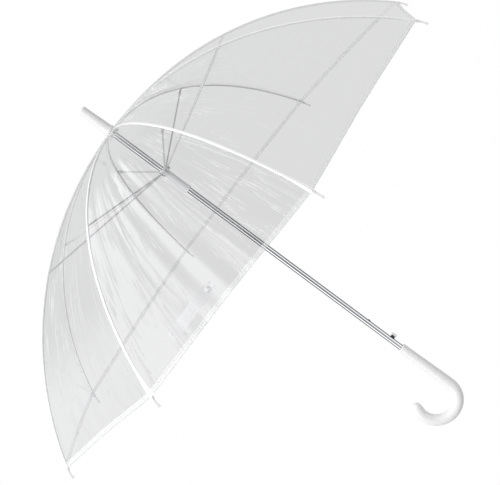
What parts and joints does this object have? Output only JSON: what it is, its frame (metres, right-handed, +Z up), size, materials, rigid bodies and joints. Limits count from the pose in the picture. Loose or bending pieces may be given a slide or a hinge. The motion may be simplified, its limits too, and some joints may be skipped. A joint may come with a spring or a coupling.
{
  "type": "stick umbrella",
  "caption": "Clear-canopy automatic stick umbrella with a chrome shaft, hinged ribs and stretchers, a sliding runner and a white crook handle.",
  "frame": {"origin": "on the shaft's axis, level with the lowest point of the crook handle", "axes": "+Z up the shaft to the ferrule, +X to the side that the push button faces, the crook curls towards -X"},
  "size_m": [0.9268, 0.9268, 0.83],
  "materials": {
    "chrome_steel": "polished plated tube",
    "white_plastic": "glossy moulded",
    "frosted_plastic": "translucent moulded",
    "wire_steel": "drawn wire",
    "rib_rod": "glass-fibre rod",
    "black_plastic": "moulded",
    "clear_film": "clear film"
  },
  "bodies": {
    "shaft": {"shaft_tube": "chrome_steel", "handle": "white_plastic", "ferrule": "white_plastic", "top_notch": "white_plastic", "notch_ring": "wire_steel", "spring_stop": "wire_steel", "main_spring": "wire_steel"},
    "runner": {"runner": "frosted_plastic", "spring_plunger": "wire_steel"},
    "button": {"catch_lever": "black_plastic", "button_cap": "white_plastic"},
    "rib_inner_1": {"rib_inner_1": "rib_rod", "gore_inner_1": "clear_film"},
    "rib_outer_1": {"rib_outer_1": "rib_rod", "rib_tip_1": "frosted_plastic", "gore_outer_1": "clear_film"},
    "stretcher_1": {"stretcher_1": "wire_steel"},
    "rib_inner_2": {"rib_inner_2": "rib_rod", "gore_inner_2": "clear_film"},
    "rib_outer_2": {"rib_outer_2": "rib_rod", "rib_tip_2": "frosted_plastic", "gore_outer_2": "clear_film"},
    "stretcher_2": {"stretcher_2": "wire_steel"},
    "rib_inner_3": {"rib_inner_3": "rib_rod", "gore_inner_3": "clear_film"},
    "rib_outer_3": {"rib_outer_3": "rib_rod", "rib_tip_3": "frosted_plastic", "gore_outer_3": "clear_film"},
    "stretcher_3": {"stretcher_3": "wire_steel"},
    "rib_inner_4": {"rib_inner_4": "rib_rod", "gore_inner_4": "clear_film"},
    "rib_outer_4": {"rib_outer_4": "rib_rod", "rib_tip_4": "frosted_plastic", "gore_outer_4": "clear_film"},
    "stretcher_4": {"stretcher_4": "wire_steel"},
    "rib_inner_5": {"rib_inner_5": "rib_rod", "gore_inner_5": "clear_film"},
    "rib_outer_5": {"rib_outer_5": "rib_rod", "rib_tip_5": "frosted_plastic", "gore_outer_5": "clear_film"},
    "stretcher_5": {"stretcher_5": "wire_steel"},
    "rib_inner_6": {"rib_inner_6": "rib_rod", "gore_inner_6": "clear_film"},
    "rib_outer_6": {"rib_outer_6": "rib_rod", "rib_tip_6": "frosted_plastic", "gore_outer_6": "clear_film", "tie_strap": "clear_film"},
    "stretcher_6": {"stretcher_6": "wire_steel"},
    "rib_inner_7": {"rib_inner_7": "rib_rod", "gore_inner_7": "clear_film"},
    "rib_outer_7": {"rib_outer_7": "rib_rod", "rib_tip_7": "frosted_plastic", "gore_outer_7": "clear_film"},
    "stretcher_7": {"stretcher_7": "wire_steel"},
    "rib_inner_8": {"rib_inner_8": "rib_rod", "gore_inner_8": "clear_film"},
    "rib_outer_8": {"rib_outer_8": "rib_rod", "rib_tip_8": "frosted_plastic", "gore_outer_8": "clear_film"},
    "stretcher_8": {"stretcher_8": "wire_steel"}
  },
  "joints": [
    {"name": "runner_slide", "type": "slide", "parent": "shaft", "child": "runner", "axis": [0, 0, -1], "range_m": [0, 0.3881], "stiffness_N_per_m": 60, "springref_m": -0.12, "deforming": ["main_spring"]},
    {"name": "button_press", "type": "slide", "parent": "shaft", "child": "button", "axis": [-1, 0, 0], "range_m": [0, 0.002], "stiffness_N_per_m": 600, "springref_m": -0.001},
    {"name": "rib_fold_1", "type": "hinge", "parent": "shaft", "child": "rib_inner_1", "pos_m": [0.00831, 0.00344, 0.767], "axis": [-0.3827, 0.9239, 0], "range_deg": [-0.5, 77], "deforming": ["gore_inner_1"]},
    {"name": "rib_flex_1", "type": "hinge", "parent": "rib_inner_1", "child": "rib_outer_1", "pos_m": [0.23728, 0.09828, 0.7102], "axis": [-0.3827, 0.9239, 0], "range_deg": [-31, 0.5], "deforming": ["gore_outer_1"]},
    {"name": "stretcher_fold_1", "type": "hinge", "parent": "rib_inner_1", "child": "stretcher_1", "pos_m": [0.23214, 0.09616, 0.71285], "axis": [-0.3827, 0.9239, 0], "range_deg": [-153.4, 0.5]},
    {"name": "rib_fold_2", "type": "hinge", "parent": "shaft", "child": "rib_inner_2", "pos_m": [0.00344, 0.00831, 0.767], "axis": [-0.9239, 0.3827, 0], "range_deg": [-0.5, 77], "deforming": ["gore_inner_2"]},
    {"name": "rib_flex_2", "type": "hinge", "parent": "rib_inner_2", "child": "rib_outer_2", "pos_m": [0.09828, 0.23728, 0.7102], "axis": [-0.9239, 0.3827, 0], "range_deg": [-31, 0.5], "deforming": ["gore_outer_2"]},
    {"name": "stretcher_fold_2", "type": "hinge", "parent": "rib_inner_2", "child": "stretcher_2", "pos_m": [0.09616, 0.23214, 0.71285], "axis": [-0.9239, 0.3827, 0], "range_deg": [-153.4, 0.5]},
    {"name": "rib_fold_3", "type": "hinge", "parent": "shaft", "child": "rib_inner_3", "pos_m": [-0.00344, 0.00831, 0.767], "axis": [-0.9239, -0.3827, 0], "range_deg": [-0.5, 77], "deforming": ["gore_inner_3"]},
    {"name": "rib_flex_3", "type": "hinge", "parent": "rib_inner_3", "child": "rib_outer_3", "pos_m": [-0.09828, 0.23728, 0.7102], "axis": [-0.9239, -0.3827, 0], "range_deg": [-31, 0.5], "deforming": ["gore_outer_3"]},
    {"name": "stretcher_fold_3", "type": "hinge", "parent": "rib_inner_3", "child": "stretcher_3", "pos_m": [-0.09616, 0.23214, 0.71285], "axis": [-0.9239, -0.3827, 0], "range_deg": [-153.4, 0.5]},
    {"name": "rib_fold_4", "type": "hinge", "parent": "shaft", "child": "rib_inner_4", "pos_m": [-0.00831, 0.00344, 0.767], "axis": [-0.3827, -0.9239, 0], "range_deg": [-0.5, 77], "deforming": ["gore_inner_4"]},
    {"name": "rib_flex_4", "type": "hinge", "parent": "rib_inner_4", "child": "rib_outer_4", "pos_m": [-0.23728, 0.09828, 0.7102], "axis": [-0.3827, -0.9239, 0], "range_deg": [-31, 0.5], "deforming": ["gore_outer_4"]},
    {"name": "stretcher_fold_4", "type": "hinge", "parent": "rib_inner_4", "child": "stretcher_4", "pos_m": [-0.23214, 0.09616, 0.71285], "axis": [-0.3827, -0.9239, 0], "range_deg": [-153.4, 0.5]},
    {"name": "rib_fold_5", "type": "hinge", "parent": "shaft", "child": "rib_inner_5", "pos_m": [-0.00831, -0.00344, 0.767], "axis": [0.3827, -0.9239, 0], "range_deg": [-0.5, 77], "deforming": ["gore_inner_5"]},
    {"name": "rib_flex_5", "type": "hinge", "parent": "rib_inner_5", "child": "rib_outer_5", "pos_m": [-0.23728, -0.09828, 0.7102], "axis": [0.3827, -0.9239, 0], "range_deg": [-31, 0.5], "deforming": ["gore_outer_5"]},
    {"name": "stretcher_fold_5", "type": "hinge", "parent": "rib_inner_5", "child": "stretcher_5", "pos_m": [-0.23214, -0.09616, 0.71285], "axis": [0.3827, -0.9239, 0], "range_deg": [-153.4, 0.5]},
    {"name": "rib_fold_6", "type": "hinge", "parent": "shaft", "child": "rib_inner_6", "pos_m": [-0.00344, -0.00831, 0.767], "axis": [0.9239, -0.3827, 0], "range_deg": [-0.5, 77], "deforming": ["gore_inner_6"]},
    {"name": "rib_flex_6", "type": "hinge", "parent": "rib_inner_6", "child": "rib_outer_6", "pos_m": [-0.09828, -0.23728, 0.7102], "axis": [0.9239, -0.3827, 0], "range_deg": [-31, 0.5], "deforming": ["gore_outer_6", "tie_strap"]},
    {"name": "stretcher_fold_6", "type": "hinge", "parent": "rib_inner_6", "child": "stretcher_6", "pos_m": [-0.09616, -0.23214, 0.71285], "axis": [0.9239, -0.3827, 0], "range_deg": [-153.4, 0.5]},
    {"name": "rib_fold_7", "type": "hinge", "parent": "shaft", "child": "rib_inner_7", "pos_m": [0.00344, -0.00831, 0.767], "axis": [0.9239, 0.3827, 0], "range_deg": [-0.5, 77], "deforming": ["gore_inner_7"]},
    {"name": "rib_flex_7", "type": "hinge", "parent": "rib_inner_7", "child": "rib_outer_7", "pos_m": [0.09828, -0.23728, 0.7102], "axis": [0.9239, 0.3827, 0], "range_deg": [-31, 0.5], "deforming": ["gore_outer_7"]},
    {"name": "stretcher_fold_7", "type": "hinge", "parent": "rib_inner_7", "child": "stretcher_7", "pos_m": [0.09616, -0.23214, 0.71285], "axis": [0.9239, 0.3827, 0], "range_deg": [-153.4, 0.5]},
    {"name": "rib_fold_8", "type": "hinge", "parent": "shaft", "child": "rib_inner_8", "pos_m": [0.00831, -0.00344, 0.767], "axis": [0.3827, 0.9239, 0], "range_deg": [-0.5, 77], "deforming": ["gore_inner_8"]},
    {"name": "rib_flex_8", "type": "hinge", "parent": "rib_inner_8", "child": "rib_outer_8", "pos_m": [0.23728, -0.09828, 0.7102], "axis": [0.3827, 0.9239, 0], "range_deg": [-31, 0.5], "deforming": ["gore_outer_8"]},
    {"name": "stretcher_fold_8", "type": "hinge", "parent": "rib_inner_8", "child": "stretcher_8", "pos_m": [0.23214, -0.09616, 0.71285], "axis": [0.3827, 0.9239, 0], "range_deg": [-153.4, 0.5]}
  ],
  "couplings": [
    {"joint": "rib_fold_1", "follows": "runner_slide", "rad_per_m": 3.4357},
    {"joint": "rib_flex_1", "follows": "runner_slide", "rad_per_m": -1.3716},
    {"joint": "stretcher_fold_1", "follows": "runner_slide", "rad_per_m": -6.8714},
    {"joint": "rib_fold_2", "follows": "runner_slide", "rad_per_m": 3.4357},
    {"joint": "rib_flex_2", "follows": "runner_slide", "rad_per_m": -1.3716},
    {"joint": "stretcher_fold_2", "follows": "runner_slide", "rad_per_m": -6.8714},
    {"joint": "rib_fold_3", "follows": "runner_slide", "rad_per_m": 3.4357},
    {"joint": "rib_flex_3", "follows": "runner_slide", "rad_per_m": -1.3716},
    {"joint": "stretcher_fold_3", "follows": "runner_slide", "rad_per_m": -6.8714},
    {"joint": "rib_fold_4", "follows": "runner_slide", "rad_per_m": 3.4357},
    {"joint": "rib_flex_4", "follows": "runner_slide", "rad_per_m": -1.3716},
    {"joint": "stretcher_fold_4", "follows": "runner_slide", "rad_per_m": -6.8714},
    {"joint": "rib_fold_5", "follows": "runner_slide", "rad_per_m": 3.4357},
    {"joint": "rib_flex_5", "follows": "runner_slide", "rad_per_m": -1.3716},
    {"joint": "stretcher_fold_5", "follows": "runner_slide", "rad_per_m": -6.8714},
    {"joint": "rib_fold_6", "follows": "runner_slide", "rad_per_m": 3.4357},
    {"joint": "rib_flex_6", "follows": "runner_slide", "rad_per_m": -1.3716},
    {"joint": "stretcher_fold_6", "follows": "runner_slide", "rad_per_m": -6.8714},
    {"joint": "rib_fold_7", "follows": "runner_slide", "rad_per_m": 3.4357},
    {"joint": "rib_flex_7", "follows": "runner_slide", "rad_per_m": -1.3716},
    {"joint": "stretcher_fold_7", "follows": "runner_slide", "rad_per_m": -6.8714},
    {"joint": "rib_fold_8", "follows": "runner_slide", "rad_per_m": 3.4357},
    {"joint": "rib_flex_8", "follows": "runner_slide", "rad_per_m": -1.3716},
    {"joint": "stretcher_fold_8", "follows": "runner_slide", "rad_per_m": -6.8714}
  ]
}
